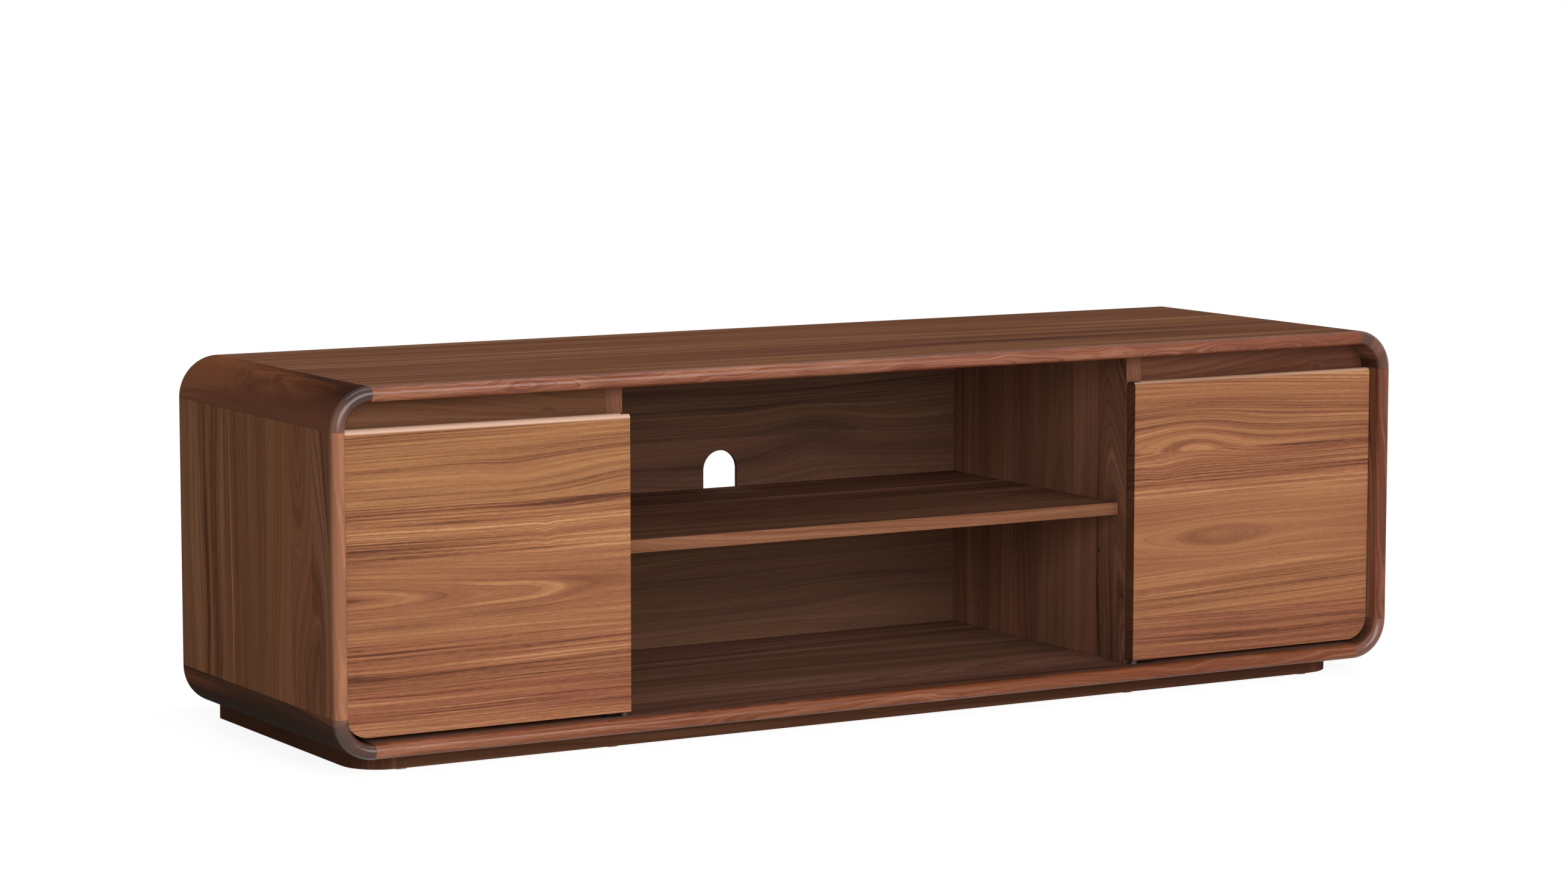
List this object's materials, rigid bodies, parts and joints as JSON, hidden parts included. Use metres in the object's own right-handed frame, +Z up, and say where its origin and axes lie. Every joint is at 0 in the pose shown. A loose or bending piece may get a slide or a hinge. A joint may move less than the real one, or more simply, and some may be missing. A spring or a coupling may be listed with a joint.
{
  "type": "media cabinet",
  "caption": "Low walnut media cabinet on a recessed plinth: rounded case, open centre bay with a shelf and a cable slot, and a pivot-hung door at each side.",
  "frame": {"origin": "on the floor, under the middle of the cabinet's width and depth", "axes": "+X to the right as seen from the front, +Y to the back, +Z up"},
  "size_m": [1.5, 0.45, 0.45],
  "materials": {
    "walnut_panel": "satin",
    "walnut_side": "satin",
    "walnut_corner": "satin",
    "walnut_door": "satin",
    "walnut_inside": "satin",
    "walnut_plinth": "satin",
    "beech": "planed",
    "bronze": "dark bronze",
    "steel": "nickel plated",
    "magnet": "nickel plated",
    "black_plastic": "moulded",
    "felt": "felt"
  },
  "bodies": {
    "cabinet": {"top_panel": "walnut_panel", "bottom_panel": "walnut_panel", "left_side_panel": "walnut_side", "right_side_panel": "walnut_side", "top_left_corner": "walnut_corner", "top_right_corner": "walnut_corner", "bottom_left_corner": "walnut_corner", "bottom_right_corner": "walnut_corner", "corner_splines": "beech", "left_partition": "walnut_inside", "right_partition": "walnut_inside", "partition_dowels": "beech", "left_header_rail": "walnut_inside", "right_header_rail": "walnut_inside", "rail_dowels": "beech", "centre_shelf": "walnut_panel", "centre_shelf_pins": "steel", "left_inner_shelf": "walnut_inside", "right_inner_shelf": "walnut_inside", "inner_shelf_pins": "steel", "back_panel": "walnut_inside", "back_panel_screws": "steel", "plinth_front_rail": "walnut_plinth", "plinth_rear_rail": "walnut_plinth", "plinth_left_rail": "walnut_plinth", "plinth_right_rail": "walnut_plinth", "plinth_left_corner": "walnut_plinth", "plinth_right_corner": "walnut_plinth", "plinth_cross_rails": "walnut_plinth", "plinth_splines": "beech", "plinth_screws": "steel", "floor_pads": "felt", "left_top_hinge_bracket": "bronze", "right_top_hinge_bracket": "bronze", "left_top_hinge_pin": "bronze", "right_top_hinge_pin": "bronze", "left_bottom_pivot": "bronze", "right_bottom_pivot": "bronze", "hinge_screws": "bronze", "left_catch_housing": "black_plastic", "right_catch_housing": "black_plastic", "catch_magnets": "magnet", "catch_screws": "steel"},
    "left_door": {"left_door": "walnut_door", "left_hinge_bushes": "bronze", "left_strike_plate": "steel", "left_strike_screw": "steel"},
    "right_door": {"right_door": "walnut_door", "right_hinge_bushes": "bronze", "right_strike_plate": "steel", "right_strike_screw": "steel"}
  },
  "joints": [
    {"name": "left_door_hinge", "type": "hinge", "parent": "cabinet", "child": "left_door", "pos_m": [-0.366, -0.197, 0.2225], "axis": [0, 0, 1], "range_deg": [0, 95]},
    {"name": "right_door_hinge", "type": "hinge", "parent": "cabinet", "child": "right_door", "pos_m": [0.366, -0.197, 0.2225], "axis": [0, 0, -1], "range_deg": [0, 95]}
  ]
}
